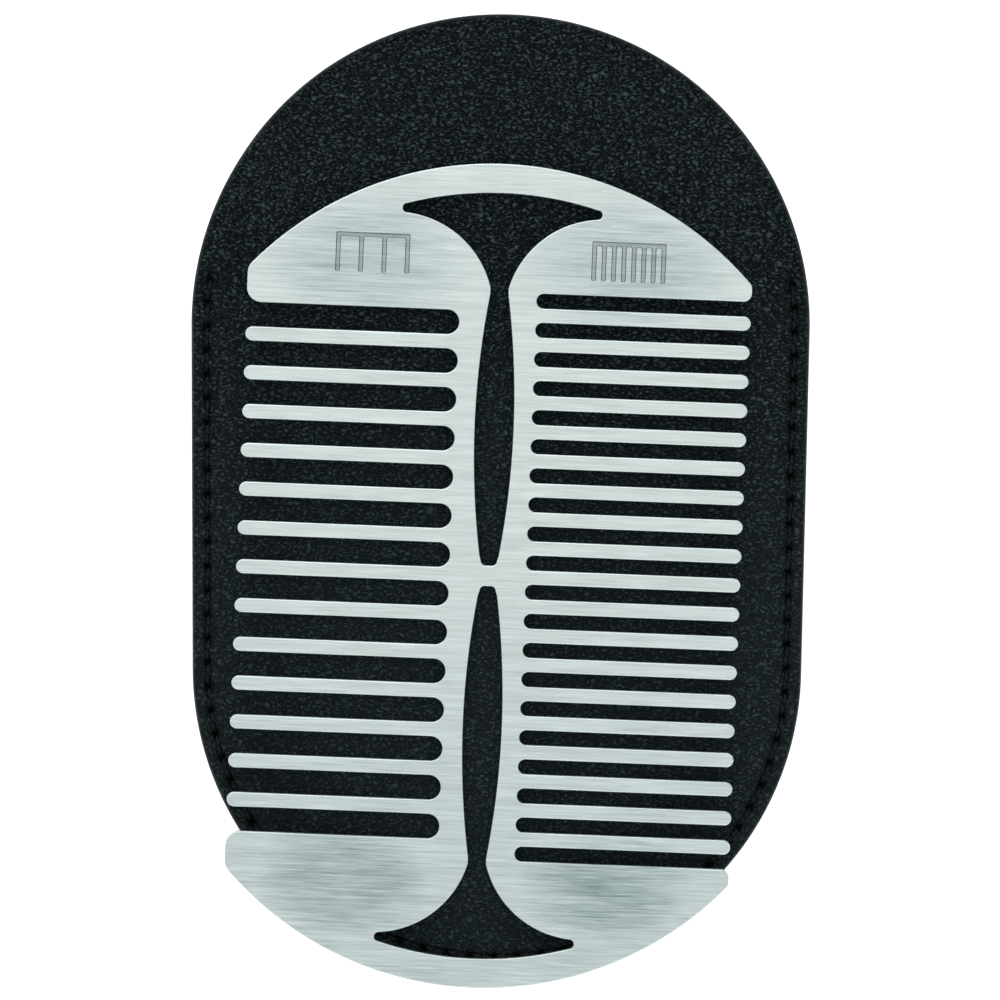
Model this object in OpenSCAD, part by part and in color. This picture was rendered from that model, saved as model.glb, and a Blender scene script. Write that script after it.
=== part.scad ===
// Plate comb for beards, lying on its sewn leather slip case.
// The case lies on its back: +Z points up out of its front, +Y along it towards the mouth, and +X
// to the right. The origin is the centre of the back face. Millimetres.

/* [Comb plate] */
// Length of the comb, end to end
comb_len = 85; // [76:1:104]
// Width of the comb across the tooth tips
comb_w = 52; // [43:1:63]
// Thickness of the steel plate
comb_t = 1.2; // [0.8:0.1:2]
// Radius of the curved ends
end_r = 35; // [33:1:42]

/* [Coarse teeth] */
// Width of one coarse tooth
coarse_tooth_w = 1.5; // [1.2:0.1:2]
// Gap between two coarse teeth
coarse_gap = 2.5; // [1.8:0.1:3.2]
// Distance from the centreline to the closed end of the coarse gaps
coarse_root_x = 4.05; // [3.4:0.05:6]
// Least straight side of a head beside the coarse teeth
coarse_head_side = 3; // [2:0.1:6]
// Radius of the head corners on the coarse side
coarse_corner_r = 1.5; // [0.5:0.1:2]

/* [Fine teeth] */
// Width of one fine tooth
fine_tooth_w = 1.5; // [1.2:0.1:2]
// Gap between two fine teeth
fine_gap = 1.5; // [1:0.1:2.4]
// Distance from the centreline to the closed end of the fine gaps
fine_root_x = 3.88; // [3.3:0.02:6]
// Least straight side of a head beside the fine teeth
fine_head_side = 1.5; // [1.2:0.1:4]
// Radius of the head corners on the fine side
fine_corner_r = 0.85; // [0.4:0.05:1]

/* [Central cut-outs] */
// Height of the bridge between the two cut-outs
bridge_h = 2.15; // [1.5:0.05:4]
// Greatest width of the lens slot
lens_w = 3.95; // [2:0.05:4.4]
// Width of the lens slot at its two ends
lens_end_w = 1.6; // [1:0.05:1.9]
// Radius of the lens slot's corners at the bridge
lens_end_r = 0.5; // [0.2:0.05:0.5]
// Width of the neck between the lens slot and the flare
neck_w = 1.8; // [1.2:0.05:2]
// Radius of the shoulders under the flare
shoulder_r = 10.1; // [8:0.1:12]
// Distance from the centreline to the shoulders' centres
shoulder_x = 10.65; // [10.3:0.05:12.8]
// Distance from the end of the comb to the shoulders' centres
shoulder_drop = 15.45; // [14.2:0.05:15.6]
// Thickness of the band that closes each end
end_band = 3.05; // [2:0.05:3.6]
// Distance from the centreline to the flare's round tips
wing_x = 9.8; // [7:0.1:10.5]

/* [Engraved spacing marks] */
// Distance from the centreline to the middle of each mark
mark_x = 13.2; // [10:0.1:16]
// Distance from the end of the comb to each mark's bar
mark_drop = 8.1; // [7.8:0.1:9]
// Length of a mark's bar
mark_len = 7.6; // [4:0.1:8]
// Height of a mark's strokes
mark_h = 3.6; // [1:0.1:4]
// Width of an engraved line
mark_line_w = 0.45; // [0.2:0.05:0.6]
// Depth of the engraving
mark_depth = 0.2; // [0.05:0.05:0.3]

/* [Slip case] */
// Leather beside the comb on each side when the comb is in the pocket
side_margin = 6; // [4:0.5:10]
// How much longer the case is than the comb
end_margin = 14; // [8:1:24]
// How much smaller the bottom radius is than the mouth radius
bottom_taper = 0.5; // [0:0.1:3]
// Thickness of the leather
leather_t = 1.2; // [0.8:0.1:2]
// Thickness of the lining
lining_t = 0.4; // [0.2:0.1:0.8]
// How far the lining stays back from the leather's edge
lining_setback = 0.3; // [0:0.1:1]
// Play between the comb and the pocket, over the comb's thickness
pocket_play = 0.4; // [0.2:0.1:1.5]
// Flat border round the pocket, pinched by the seam
border_w = 4; // [3:0.5:8]
// Width of the slope from the border to the flat top
slope_w = 12; // [8:0.5:16]

/* [Seam] */
// Distance from the edge of the leather to the seam
seam_inset = 1.6; // [1.2:0.1:2.2]
// Height above the middle of the case at which the seam ends
seam_top_y = 22; // [10:1:30]
// Number of stitches on each side of the case
stitches_per_side = 35; // [20:1:45]
// Diameter of the thread
thread_d = 0.5; // [0.3:0.05:0.7]
// Clearance round the thread in its holes and grooves
thread_clear = 0.05; // [0.02:0.01:0.1]
// Depth of the groove on the front, less than the thread so that it shows
front_groove = 0.35; // [0.1:0.05:0.4]

/* [Resting place of the comb] */
// Comb's centre to the left of the case's centre
comb_left = 1; // [-5:0.5:5]
// Comb's centre below the case's centre, towards the closed end
comb_down = 8.5; // [0:0.5:12]
// Turn of the comb on the case, in degrees
comb_turn = -1.65; // [-10:0.05:10]
// Air between the comb and the leather
comb_lie_gap = 0.1; // [0.05:0.05:0.5]

/* [Hidden] */
$fn = 64;
outline_fn = 120;
form_fn = 48;
skin = 0.01;
over = 1;

// The comb's outline: the ends are arcs, and the sides are straight between them.
end_arc_y = comb_len / 2 - end_r;
side_y = end_arc_y + sqrt(pow(end_r, 2) - pow(comb_w / 2, 2));

// As many gaps as leave the heads their straight sides.
function gap_count(head_side, tooth_w, gap) =
    floor((2 * (side_y - head_side) + tooth_w) / (tooth_w + gap));
function row_half(count, tooth_w, gap) = (count * (tooth_w + gap) - tooth_w) / 2;
function gap_y(i, count, tooth_w, gap) = (i - (count - 1) / 2) * (tooth_w + gap);
coarse_gaps = gap_count(coarse_head_side, coarse_tooth_w, coarse_gap);
fine_gaps = gap_count(fine_head_side, fine_tooth_w, fine_gap);

// The cut-outs: a lens slot, a neck, and a flare under an arc like the comb's own end.
shoulder_y = comb_len / 2 - shoulder_drop;
flare_arc_y = end_arc_y - end_band;
neck_from_shoulder = sqrt(pow(shoulder_r, 2) - pow(shoulder_x - neck_w / 2, 2));
neck_top_y = shoulder_y + neck_from_shoulder;
lens_mid_y = (bridge_h / 2 + neck_top_y) / 2;
lens_half_len = (neck_top_y - bridge_h / 2) / 2;
lens_sag = (lens_w - lens_end_w) / 2;
lens_side_r = (pow(lens_half_len, 2) + pow(lens_sag, 2)) / (2 * lens_sag);
neck_half_len = lens_half_len
    - sqrt(pow(lens_side_r, 2) - pow(lens_side_r - (lens_w - neck_w) / 2, 2));
wing_high_y = flare_arc_y + sqrt(pow(end_r, 2) - pow(wing_x, 2));
wing_low_y = shoulder_y + sqrt(pow(shoulder_r, 2) - pow(shoulder_x - wing_x, 2));

// The engraved marks: a bar with strokes as far apart as the teeth on that side.
coarse_mark_strokes = 1 + floor(mark_len / (coarse_tooth_w + coarse_gap) * 2);
fine_mark_strokes = 1 + floor(mark_len / (fine_tooth_w + fine_gap) * 3);

// The case: two rounds joined by tangents, large enough for the comb.
case_w = comb_w + 2 * side_margin;
case_len = comb_len + end_margin;
mouth_r = case_w / 2;
bottom_r = mouth_r - bottom_taper;
mouth_y = case_len / 2 - mouth_r;
bottom_y = -case_len / 2 + bottom_r;
centre_dist = mouth_y - bottom_y;

// The layers, from the back up. The front layers rise by the pocket's height in the middle.
pocket_h = comb_t + pocket_play;
back_lining_z = leather_t;
front_lining_z = back_lining_z + lining_t;
front_panel_z = front_lining_z + lining_t;
border_top_z = front_panel_z + leather_t;
case_top_z = border_top_z + pocket_h;
comb_z = case_top_z + comb_lie_gap;

// The raised form: shares of the slope's width and of the rise, for a soft shoulder.
form_steps = [[0, 0], [0.4, 0.7], [1, 1]];
mouth_run = mouth_r;

// The seam runs from one side, round the bottom, to the other side.
groove_w = thread_d + 4 * thread_clear;
back_groove = thread_d + 2 * thread_clear;
hole_d = thread_d + 2 * thread_clear;
lock_z = front_lining_z;
seam_bottom_r = bottom_r - seam_inset;
seam_mouth_r = mouth_r - seam_inset;
tangent_angle = -asin(bottom_taper / centre_dist);
seam_end_angle = asin((seam_top_y - mouth_y) / seam_mouth_r);
arc_1_len = seam_bottom_r * (90 + tangent_angle) * PI / 180;
straight_len = centre_dist * cos(tangent_angle);
arc_2_len = seam_mouth_r * (seam_end_angle - tangent_angle) * PI / 180;
half_seam_len = arc_1_len + straight_len + arc_2_len;
stitch_len = half_seam_len / stitches_per_side;

// A point of the right half of the seam, at the distance s from the bottom centre.
function on_round(y, r, angle) = [r * cos(angle), y + r * sin(angle)];
function seam_point(s) =
    s < arc_1_len
    ? on_round(bottom_y, seam_bottom_r, -90 + s / seam_bottom_r * 180 / PI)
    : s < arc_1_len + straight_len
    ? on_round(bottom_y, seam_bottom_r, tangent_angle)
        + (s - arc_1_len) * [-sin(tangent_angle), cos(tangent_angle)]
    : on_round(mouth_y, seam_mouth_r,
        tangent_angle + (s - arc_1_len - straight_len) / seam_mouth_r * 180 / PI);

function unit(v) = v / norm(v);

// ---- comb ----

module plate_outline() {
    square([comb_w, 2 * side_y], center = true);
    for (end = [1, -1])
        intersection() {
            translate([0, end * end_arc_y]) circle(end_r);
            translate([0, end * comb_len / 2]) square([comb_w, comb_len], center = true);
        }
}

// The sliver that is cut away to round the corner between an end arc and the right side.
module outer_corner_cut(r) {
    centre = [comb_w / 2 - r, end_arc_y + sqrt(pow(end_r - r, 2) - pow(comb_w / 2 - r, 2))];
    outward = unit(centre - [0, end_arc_y]);
    far = [0, end_arc_y] + (end_r + over) * outward;
    difference() {
        polygon([centre, [comb_w / 2 + over, centre.y], [comb_w / 2 + over, far.y], far]);
        translate(centre) circle(r);
    }
}

// The sliver that is cut away to round the corner between the right side and the first gap.
module inner_corner_cut(r, y) {
    difference() {
        translate([comb_w / 2 - r, y - over]) square([r + over, r + over]);
        translate([comb_w / 2 - r, y + r]) circle(r);
    }
}

// Everything that is cut from the right side of the plate: the gaps' field with its rounds.
module row_cut(root_x, tooth_w, gap, count, corner_r) {
    half = row_half(count, tooth_w, gap);
    root_y = root_x + gap / 2;
    translate([root_y, -half]) square([comb_w / 2 - root_y + over, 2 * half]);
    for (i = [0:count - 1])
        translate([root_y, gap_y(i, count, tooth_w, gap)]) circle(gap / 2);
    for (end = [0, 1])
        mirror([0, end]) {
            outer_corner_cut(corner_r);
            inner_corner_cut(corner_r, half);
        }
}

module row_teeth(root_x, tooth_w, gap, count) {
    inner_x = root_x + gap / 4;
    tip_x = (comb_w - tooth_w) / 2;
    for (i = [0:count - 2])
        translate([0, gap_y(i + 0.5, count, tooth_w, gap)]) {
            translate([inner_x, -tooth_w / 2]) square([tip_x - inner_x, tooth_w]);
            translate([tip_x, 0]) circle(tooth_w / 2);
        }
}

module cutout() {
    intersection() {
        for (side = [0, 1])
            mirror([side, 0]) lens_half();
        lens_ends();
    }
    translate([-neck_w / 2, neck_top_y - 2 * neck_half_len])
        square([neck_w, 2 * neck_half_len]);
    difference() {
        intersection() {
            translate([0, flare_arc_y]) circle(end_r);
            translate([-wing_x, neck_top_y - skin]) square([2 * wing_x, comb_len]);
        }
        for (side = [1, -1])
            translate([side * shoulder_x, shoulder_y]) circle(shoulder_r);
    }
    for (side = [1, -1])
        translate([side * wing_x, (wing_high_y + wing_low_y) / 2])
            circle((wing_high_y - wing_low_y) / 2);
}

// What the lens slot's two ends allow: round corners at the bridge, and open at the neck.
module lens_ends() {
    corner_x = lens_end_w / 2 - lens_end_r;
    corner_y = bridge_h / 2 + lens_end_r;
    translate([-lens_w, corner_y]) square([2 * lens_w, neck_top_y - corner_y]);
    translate([-corner_x, bridge_h / 2]) square([2 * corner_x, 2 * lens_end_r]);
    for (side = [1, -1])
        translate([side * corner_x, corner_y]) circle(lens_end_r);
}

// One side of the lens slot: the part of a large circle beyond the centreline.
module lens_half() {
    intersection() {
        translate([lens_w / 2 - lens_side_r, lens_mid_y]) circle(lens_side_r, $fn = 360);
        translate([-skin, 0]) square([lens_w, comb_len]);
    }
}

module comb_shape() {
    difference() {
        union() {
            difference() {
                plate_outline();
                mirror([1, 0])
                    row_cut(coarse_root_x, coarse_tooth_w, coarse_gap, coarse_gaps,
                        coarse_corner_r);
                row_cut(fine_root_x, fine_tooth_w, fine_gap, fine_gaps, fine_corner_r);
            }
            mirror([1, 0])
                row_teeth(coarse_root_x, coarse_tooth_w, coarse_gap, coarse_gaps);
            row_teeth(fine_root_x, fine_tooth_w, fine_gap, fine_gaps);
        }
        cutout();
        mirror([0, 1]) cutout();
    }
}

// A mark: a bar with strokes hanging from it, like a small comb.
module spacing_mark(strokes) {
    step = (mark_len - mark_line_w) / (strokes - 1);
    translate([-mark_len / 2, 0]) square([mark_len, mark_line_w]);
    for (i = [0:strokes - 1])
        translate([-mark_len / 2 + i * step, -mark_h])
            square([mark_line_w, mark_h + mark_line_w / 2]);
}

module comb_plate() {
    color("lightsteelblue")
        translate([-comb_left, -comb_down, comb_z])
            rotate([0, 0, comb_turn])
                difference() {
                    linear_extrude(comb_t) comb_shape();
                    translate([0, comb_len / 2 - mark_drop, comb_t - mark_depth])
                        linear_extrude(mark_depth + over) {
                            translate([-mark_x, 0]) spacing_mark(coarse_mark_strokes);
                            translate([mark_x, 0]) spacing_mark(fine_mark_strokes);
                        }
                }
}

// ---- case ----

module case_outline(inset) {
    hull() {
        translate([0, mouth_y]) circle(mouth_r - inset, $fn = outline_fn);
        translate([0, bottom_y]) circle(bottom_r - inset, $fn = outline_fn);
    }
}

// The round-shouldered form that lifts the front layers off the back ones, with its foot at z.
module raised_form(z) {
    hull() {
        for (step = form_steps) {
            inset = border_w + step[0] * slope_w;
            translate([0, 0, z + step[1] * pocket_h]) {
                translate([0, bottom_y])
                    cylinder(h = skin, r = bottom_r - inset, $fn = form_fn);
                translate([0, mouth_y + mouth_run])
                    cylinder(h = skin, r = mouth_r - inset, $fn = form_fn);
            }
        }
    }
}

// A front layer from z up, t thick, with the given setback from the outline.
module front_layer(z, t, setback) {
    difference() {
        intersection() {
            translate([0, 0, z]) linear_extrude(t + pocket_h + over) case_outline(setback);
            union() {
                translate([-case_w, -case_len, z]) cube([2 * case_w, 2 * case_len, t]);
                raised_form(z + t - skin);
            }
        }
        raised_form(z - skin);
    }
}

// The path of the seam as a band of the given width.
module seam_band(width) {
    difference() {
        case_outline(seam_inset - width / 2);
        case_outline(seam_inset + width / 2);
        translate([-case_w, seam_top_y]) square([2 * case_w, case_len]);
    }
}

// One round through all the layers at each end of each stitch.
module at_each_hole() {
    for (i = [-stitches_per_side:stitches_per_side]) {
        point = seam_point(abs(i) * stitch_len);
        translate([sign(i) * point.x, point.y]) children();
    }
}

module needle_holes() {
    translate([0, 0, -over])
        linear_extrude(border_top_z + 2 * over) at_each_hole() circle(hole_d / 2);
}

module front_panel() {
    color("#1b1f22")
        difference() {
            front_layer(front_panel_z, leather_t, 0);
            translate([0, 0, border_top_z - front_groove])
                linear_extrude(front_groove + over) seam_band(groove_w);
            needle_holes();
        }
}

module back_panel() {
    color("#24282c")
        difference() {
            linear_extrude(leather_t) case_outline(0);
            translate([0, 0, -over]) linear_extrude(back_groove + over) seam_band(groove_w);
            needle_holes();
        }
}

module front_lining() {
    color("#3a3d42")
        difference() {
            front_layer(front_lining_z, lining_t, lining_setback);
            needle_holes();
        }
}

module back_lining() {
    color("#45494f")
        difference() {
            translate([0, 0, back_lining_z])
                linear_extrude(lining_t) case_outline(lining_setback);
            needle_holes();
        }
}

// A thread: a run along the seam, with a leg down every hole to where the two threads lock.
module thread(run_z, leg_z, leg_len) {
    translate([0, 0, run_z]) linear_extrude(thread_d) seam_band(thread_d);
    translate([0, 0, leg_z]) linear_extrude(leg_len) at_each_hole() circle(thread_d / 2);
}

module needle_thread() {
    run_z = border_top_z - front_groove;
    color("#0b0c0e") thread(run_z, lock_z, run_z + thread_d / 2 - lock_z);
}

module bobbin_thread() {
    run_z = back_groove - thread_d;
    color("#111316") thread(run_z, run_z + thread_d / 2, lock_z - run_z - thread_d / 2);
}

comb_plate();
front_panel();
back_panel();
front_lining();
back_lining();
needle_thread();
bobbin_thread();
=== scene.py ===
# %% [markdown]
# # A steel plate comb on its sewn leather case
# The object is a flat comb for beards, cut out of steel sheet and brushed, that lies on the
# slip case it is carried in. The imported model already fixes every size, so this lesson only
# builds finer surfaces in the same places: a comb with rounded edges, two leather panels with
# a sunk seam, the linings and the threads. Lengths are thought of in millimetres, because the
# teeth are a millimetre and a half wide, and turned into metres when a mesh is made.

# %% Load the frame
import math

import bmesh
import bpy
import numpy as np
from mathutils.geometry import delaunay_2d_cdt
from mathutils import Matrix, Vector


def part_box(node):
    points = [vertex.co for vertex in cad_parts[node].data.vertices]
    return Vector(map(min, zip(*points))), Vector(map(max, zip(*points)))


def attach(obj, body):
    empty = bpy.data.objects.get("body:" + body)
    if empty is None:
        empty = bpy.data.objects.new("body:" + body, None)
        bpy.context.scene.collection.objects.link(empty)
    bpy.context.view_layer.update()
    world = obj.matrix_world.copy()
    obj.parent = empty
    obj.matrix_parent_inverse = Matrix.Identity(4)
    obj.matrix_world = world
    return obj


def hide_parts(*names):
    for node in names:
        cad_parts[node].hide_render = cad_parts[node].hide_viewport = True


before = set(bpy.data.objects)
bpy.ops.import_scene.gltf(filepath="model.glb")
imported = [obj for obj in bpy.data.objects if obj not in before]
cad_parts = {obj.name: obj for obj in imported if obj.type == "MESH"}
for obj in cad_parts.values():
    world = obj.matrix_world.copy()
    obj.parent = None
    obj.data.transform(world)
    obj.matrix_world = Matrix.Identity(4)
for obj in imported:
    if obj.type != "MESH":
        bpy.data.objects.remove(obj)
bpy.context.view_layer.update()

MM = 0.001
weld_mm = 0.0005

# %% [markdown]
# ## Measuring from the frame
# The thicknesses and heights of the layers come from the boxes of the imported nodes, so that
# the finer surfaces sit exactly where the plain ones do. Only the sizes that a box can't
# tell, such as the width of a tooth, are written out again below.


# %% Heights of the layers
def heights(node):
    """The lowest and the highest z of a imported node, in millimetres."""
    low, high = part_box(node)
    return low.z / MM, high.z / MM


comb_z, comb_top_z = heights("comb_plate")
comb_t = comb_top_z - comb_z
leather_t = heights("back_panel")[1]
back_lining_z, front_lining_z = heights("back_lining")
lining_t = front_lining_z - back_lining_z
front_panel_z, case_top_z = heights("front_panel")
border_top_z = front_panel_z + leather_t
pocket_h = case_top_z - border_top_z
case_low, case_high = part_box("back_panel")
case_w = (case_high.x - case_low.x) / MM
case_len = (case_high.y - case_low.y) / MM
print(f"steel {comb_t:.2f}, leather {leather_t:.2f}, lining {lining_t:.2f}, pocket {pocket_h:.2f} mm")

# %% [markdown]
# ## From arrays to a mesh
# Every piece here is a grid of points: one direction runs round the piece and closes on
# itself, the other runs from ring to ring. With the points in one array, the faces are a
# matter of counting, so one helper serves the steel, the leather and the thread.


# %% Rings, faces and pieces
def into_scene(name, data):
    """An object for a mesh, a light or a camera, linked to the scene."""
    thing = bpy.data.objects.new(name, data)
    bpy.context.scene.collection.objects.link(thing)
    return thing


def ring_faces(rings, count, first=0):
    """Quads between neighbouring closed rings of count points, for points numbered from first.

    Point j of ring k has the number first + k * count + j, and the last point of a ring is
    joined to its first."""
    ring, point = np.meshgrid(np.arange(rings - 1), np.arange(count), indexing="ij")
    here = first + ring * count + point
    beside = first + ring * count + (point + 1) % count
    return np.stack([here, here + count, beside + count, beside], axis=-1).reshape(-1, 4)


def make_piece(name, points_mm, faces, merge_mm=0.0):
    """A smooth-shaded mesh object from points in millimetres and a list of arrays of faces."""
    mesh = bpy.data.meshes.new(name)
    corners = [face for block in faces for face in block.tolist()]
    mesh.from_pydata((points_mm * MM).tolist(), [], corners)
    if merge_mm:
        work = bmesh.new()
        work.from_mesh(mesh)
        bmesh.ops.remove_doubles(work, verts=work.verts, dist=merge_mm * MM)
        work.to_mesh(mesh)
        work.free()
    mesh.validate()
    mesh.shade_smooth()
    print(f"{name}: {len(mesh.vertices)} points, {len(mesh.polygons)} faces")
    return into_scene(name, mesh)


# %% [markdown]
# ## The comb's outline
# Such a comb is cut from sheet by laser or by etching, in one closed line round all its teeth
# and one round each opening. A line like that is only arcs: the tips and the roots are half
# rounds, the ends are parts of large rounds, and what lies between two arcs is straight.
# The number of points on an arc follows from how far a chord may stray from it, so a large
# arc gets a fine step and a small one isn't overloaded.

# %% Sizes of the comb
comb_len, comb_w, end_r = 85.0, 52.0, 35.0
coarse = {"tooth": 1.5, "gap": 2.5, "gaps": 14, "root_x": 4.05, "corner_r": 1.5}
fine = {"tooth": 1.5, "gap": 1.5, "gaps": 20, "root_x": 3.88, "corner_r": 0.85}
end_arc_y = comb_len / 2 - end_r
chord_error = 0.004


def arc(centre, radius, start, end):
    """Points centre + radius * (cos a, sin a), with a from start to end in degrees."""
    step = 2 * math.degrees(math.acos(1 - chord_error / radius))
    angle = np.radians(np.linspace(start, end, 2 + int(abs(end - start) / step)))
    return np.column_stack([np.cos(angle), np.sin(angle)]) * radius + centre


# %% The toothed sides and the whole outline
def toothed_side(tooth, gap, gaps, root_x, corner_r):
    """The right side from the lower head's corner up to the upper head's, and its lean.

    A root and the tip above it are two half rounds. The pair is shifted by one pitch for
    each gap, and each head is two corner rounds. The lean is the angle at which the last
    corner round runs into the end's arc."""
    pitch = tooth + gap
    gap_y = (np.arange(gaps) - (gaps - 1) / 2) * pitch
    root = arc((root_x + gap / 2, 0), gap / 2, 270, 90)
    tip = arc((comb_w / 2 - tooth / 2, pitch / 2), tooth / 2, -90, 90)
    shifts = np.column_stack([np.zeros(gaps), gap_y])
    row = (np.vstack([root, tip])[None] + shifts[:, None]).reshape(-1, 2)[: -len(tip)]
    corner_x = comb_w / 2 - corner_r
    corner_y = end_arc_y + math.sqrt((end_r - corner_r) ** 2 - corner_x**2)
    lean = math.degrees(math.atan2(corner_y - end_arc_y, corner_x))
    row_end = (gaps * pitch - tooth) / 2
    head = np.vstack([
        arc((corner_x, row_end + corner_r), corner_r, -90, 0),
        arc((corner_x, corner_y), corner_r, 0, lean),
    ])
    return np.vstack([head[::-1] * (1, -1), row, head]), lean


def comb_outline():
    """The outer line, anticlockwise: right side, upper end, left side, lower end."""
    right, right_lean = toothed_side(**fine)
    left, left_lean = toothed_side(**coarse)
    upper = arc((0, end_arc_y), end_r, right_lean, 180 - left_lean)[1:-1]
    lower = arc((0, -end_arc_y), end_r, 180 + left_lean, 360 - right_lean)[1:-1]
    return np.vstack([right, upper, left[::-1] * (-1, 1), lower])


outline = comb_outline()
print(len(outline), "points round the teeth")

# %% [markdown]
# ## The two openings
# Each opening is a slender lens that narrows to a neck and then flares into two wings under
# the end band. Its sides are arcs as well: a very large one for the lens, a shoulder, a tiny
# half round at the wing's tip and an arc that runs along the comb's own end. The line round
# an opening is traced the other way round, so that the steel is always on its left.

# %% Sizes of the openings
bridge_h, lens_w, lens_end_w, lens_end_r, neck_w = 2.15, 3.95, 1.6, 0.5, 1.8
shoulder_r, shoulder_x, shoulder_drop = 10.1, 10.65, 15.45
end_band, wing_x = 3.05, 9.8


def mirrored_loop(right_half):
    """A closed anticlockwise loop from its right half, which rises from bottom to top."""
    return np.vstack([right_half, right_half[-2::-1] * (-1, 1)])


def opening():
    """The upper opening, clockwise, as five arcs of its right half and their mirror image."""
    shoulder_y = comb_len / 2 - shoulder_drop
    neck_top_y = shoulder_y + math.sqrt(shoulder_r**2 - (shoulder_x - neck_w / 2) ** 2)
    lens_y = (bridge_h / 2 + neck_top_y) / 2
    half_len = (neck_top_y - bridge_h / 2) / 2
    sag = (lens_w - lens_end_w) / 2
    side_r = (half_len**2 + sag**2) / (2 * sag)
    neck_at = math.degrees(math.acos(1 - (lens_w - neck_w) / 2 / side_r))
    corner_at = math.degrees(math.asin((half_len - 2 * lens_end_r) / side_r))
    flare_y = end_arc_y - end_band
    wing_high = flare_y + math.sqrt(end_r**2 - wing_x**2)
    wing_low = shoulder_y + math.sqrt(shoulder_r**2 - (shoulder_x - wing_x) ** 2)
    shoulder_from = 180 - math.degrees(math.asin((neck_top_y - shoulder_y) / shoulder_r))
    shoulder_to = math.degrees(math.acos((wing_x - shoulder_x) / shoulder_r))
    right_half = np.vstack([
        arc((lens_end_w / 2 - lens_end_r, bridge_h / 2 + lens_end_r), lens_end_r, -90, 0),
        arc((lens_w / 2 - side_r, lens_y), side_r, -corner_at, neck_at),
        arc((shoulder_x, shoulder_y), shoulder_r, shoulder_from, shoulder_to)[:-1],
        arc((wing_x, (wing_high + wing_low) / 2), (wing_high - wing_low) / 2, -90, 90),
        arc((0, flare_y), end_r, math.degrees(math.acos(wing_x / end_r)), 90)[1:],
    ])
    return mirrored_loop(right_half)[::-1]


upper_opening = opening()
lower_opening = upper_opening[::-1] * (1, -1)
print(len(upper_opening), "points round each opening")

# %% [markdown]
# ## Spacing marks
# Many combs carry a maker's sign here. This one carries a plain mark instead: a bar with
# strokes that hang from it like the teeth of a tiny comb, four on the side of the wide gaps
# and eight on the side of the narrow ones. A cutter can't leave a sharp inner corner, so each
# corner of the line is a quarter round, worked out from the directions of the two straight
# lines that meet there.

# %% Sizes and lines of the marks
mark_x, mark_drop, mark_len, mark_h, mark_line, mark_depth = 13.2, 8.1, 7.6, 3.6, 0.45, 0.2
mark_corner_r, mark_corner_steps, coarse_strokes, fine_strokes = 0.12, 4, 4, 8


def rounded_corners(corners, radius, steps):
    """A closed line of right-angled corners with a quarter round of the radius at each.

    With a the direction into a corner and b the direction out of it, the round's points are
    corner + radius * (a * (sin t - 1) + b * (1 - cos t)), with t from 0 to a right angle."""
    a = corners - np.roll(corners, 1, axis=0)
    a /= np.linalg.norm(a, axis=1, keepdims=True)
    b = np.roll(a, -1, axis=0)
    t = np.linspace(0, math.pi / 2, steps)[None, :, None]
    rounds = a[:, None] * (np.sin(t) - 1) + b[:, None] * (1 - np.cos(t))
    return (corners[:, None] + radius * rounds).reshape(-1, 2)


def spacing_mark(strokes, x):
    """The line round one mark, clockwise, centred on x below the comb's upper end."""
    left = np.linspace(-mark_len / 2, mark_len / 2 - mark_line, strokes)
    one = np.array([[0, 0], [0, -mark_h], [mark_line, -mark_h], [mark_line, 0]])
    hanging = (left[:, None, None] * (1, 0) + one[None]).reshape(-1, 2)[1:-1]
    bar = np.array([[mark_len / 2, mark_line], [-mark_len / 2, mark_line]])
    line = rounded_corners(np.vstack([bar, hanging]), mark_corner_r, mark_corner_steps)
    return (line + (x, comb_len / 2 - mark_drop))[::-1]


marks = [spacing_mark(coarse_strokes, -mark_x), spacing_mark(fine_strokes, mark_x)]
print(len(marks[0]), "and", len(marks[1]), "points round the marks")

# %% [markdown]
# ## A rounded edge carried along a line
# After cutting, a comb is tumbled or ground until no edge can catch a hair, so every edge of
# the sheet is a small round that glints. One profile does it: pairs of how far a ring lies
# in from the line and how high it lies. Moving a closed line inwards by a distance is a sum
# over its corners, done for all of them at once.

# %% The profile and the sweep
edge_r, edge_steps, flat_margin = 0.15, 6, 0.02
broken_w, broken_h, wall_lean, floor_round = 0.03, 0.015, 0.03, 0.02


def moved_in(loop, distance):
    """The closed loop moved to its left by the distance, along the mitre at each point.

    With m and n the left normals of the two straight pieces that meet at a point, the mitre
    is (m + n) / (1 + m . n)."""
    along = np.roll(loop, -1, axis=0) - loop
    along /= np.linalg.norm(along, axis=1, keepdims=True)
    after = np.column_stack([-along[:, 1], along[:, 0]])
    before = np.roll(after, 1, axis=0)
    mitre = (before + after) / (1 + np.sum(before * after, axis=1, keepdims=True))
    return loop + distance * mitre


def swept(loop, profile):
    """Rings of points, shaped (rings, points, 3): the loop at each inset and height in turn."""
    rings = [np.column_stack([moved_in(loop, inset), np.full(len(loop), z)]) for inset, z in profile]
    return np.array(rings)


def edge_profile():
    """Inset and height: a quarter round at the top, the wall, a quarter round at the bottom.

    The first and last rings lie a little further in on the flat, so that the flat stays
    evenly shaded right up to the round."""
    turn = np.linspace(0, math.pi / 2, edge_steps)
    inset = np.concatenate([[edge_r + flat_margin], edge_r * (1 - np.sin(turn))])
    drop = np.concatenate([[0.0], edge_r * (1 - np.cos(turn))])
    top = np.column_stack([inset, comb_t - drop])
    bottom = np.column_stack([inset, drop])[::-1]
    return np.vstack([top, bottom])


def engraved_profile():
    """Inset and height from the flat over a slightly broken edge down to the mark's floor."""
    floor_z = comb_t - mark_depth
    floor_in = wall_lean + floor_round
    return [
        (broken_w + flat_margin, comb_t), (broken_w, comb_t), (0.0, comb_t - broken_h),
        (-wall_lean, floor_z + floor_round), (-floor_in, floor_z), (-floor_in - flat_margin, floor_z),
    ]


print(len(edge_profile()), "rings carry an edge,", len(engraved_profile()), "carry a mark")


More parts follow.
